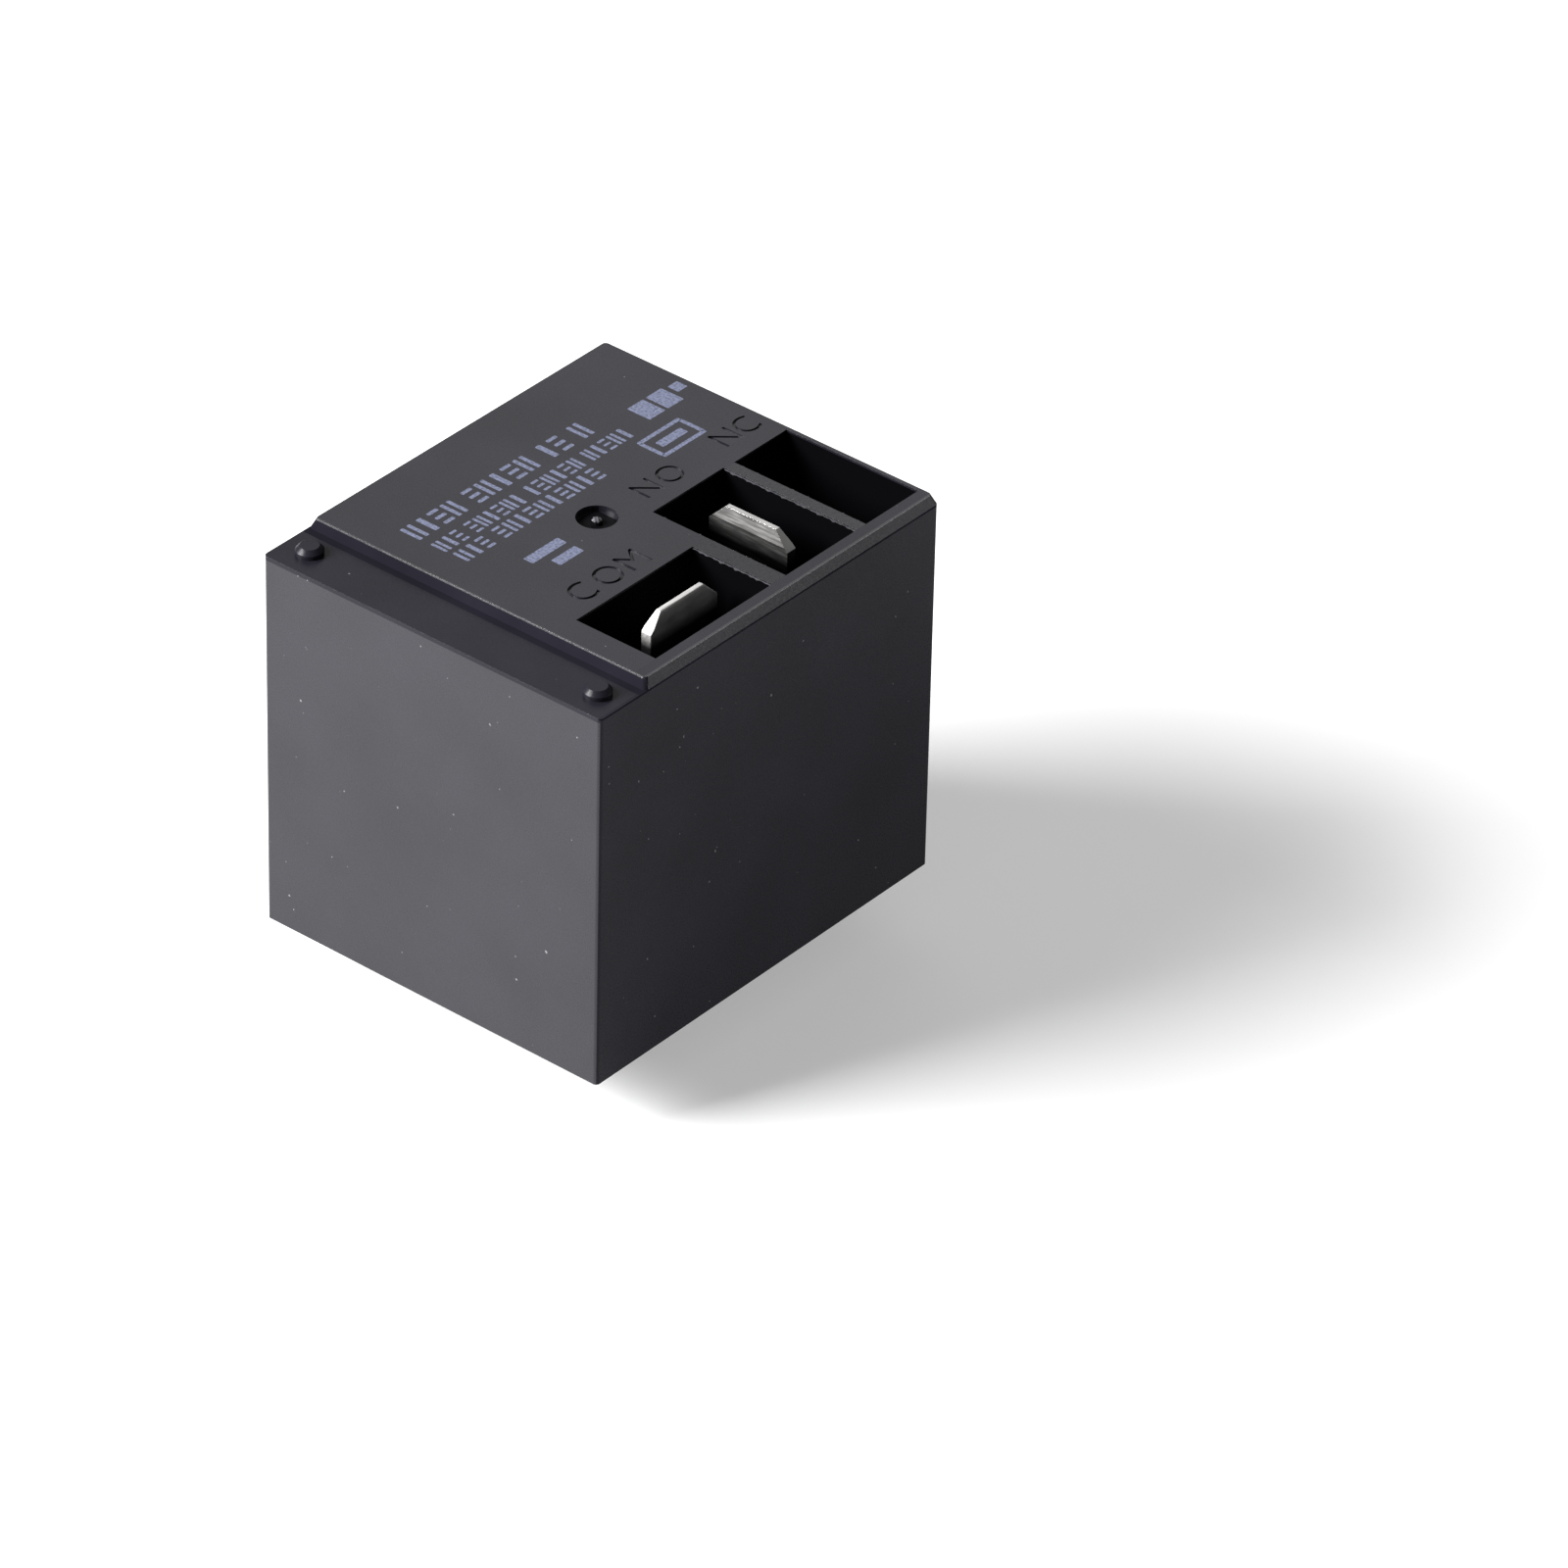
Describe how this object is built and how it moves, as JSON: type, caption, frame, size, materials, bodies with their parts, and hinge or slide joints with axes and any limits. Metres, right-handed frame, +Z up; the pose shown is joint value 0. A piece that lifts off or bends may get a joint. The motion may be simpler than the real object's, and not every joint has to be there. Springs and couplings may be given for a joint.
{
  "type": "pcb power relay",
  "caption": "Sealed power relay for a circuit board: black moulded case on solder pins, with push-on blade terminals in wells on top.",
  "frame": {"origin": "middle of the case's outline, at the level of the pin tips", "axes": "+X across the case towards the terminal wells, +Y along the case away from the ledge, +Z up from the pins to the raised top"},
  "size_m": [0.0274, 0.0322, 0.032],
  "materials": {
    "case_plastic": "fine matt moulded texture",
    "base_plastic": "matt moulded",
    "sealing_resin": "poured, glossy",
    "tinned_copper": "tinned, satin",
    "tinned_brass": "tinned, satin",
    "plated_iron": "zinc plated",
    "bobbin_plastic": "moulded",
    "enamelled_copper": "enamelled wire",
    "polyester_tape": "smooth film",
    "insulation_sheet": "smooth sheet",
    "silver_alloy": "satin",
    "leaf_copper": "rolled sheet",
    "rivet_brass": "satin",
    "spring_steel": "drawn wire",
    "bare_copper": "braided"
  },
  "bodies": {
    "frame": {"potting_seal": "sealing_resin", "base_plate": "base_plastic", "coil_pin_left": "tinned_copper", "coil_pin_right": "tinned_copper", "com_pin": "tinned_copper", "yoke": "plated_iron", "bobbin": "bobbin_plastic", "core": "plated_iron", "coil_winding": "enamelled_copper", "coil_tape": "polyester_tape", "coil_lead_left": "enamelled_copper", "coil_lead_right": "enamelled_copper", "insulation_barrier": "insulation_sheet", "com_terminal": "tinned_brass", "make_terminal": "tinned_brass", "fixed_contact": "silver_alloy", "return_spring": "spring_steel", "copper_braid": "bare_copper", "cover": "case_plastic"},
    "armature": {"armature": "plated_iron", "contact_leaf": "leaf_copper", "moving_contact": "silver_alloy", "leaf_rivets": "rivet_brass"}
  },
  "joints": [
    {"name": "armature_pivot", "type": "hinge", "parent": "frame", "child": "armature", "pos_m": [-0.00055, -0.01235, 0.01888], "axis": [-1, 0, 0], "range_deg": [0, 4.1], "stiffness_Nm_per_rad": 0.005, "springref_deg": -17.19, "deforming": ["return_spring", "copper_braid"]}
  ]
}
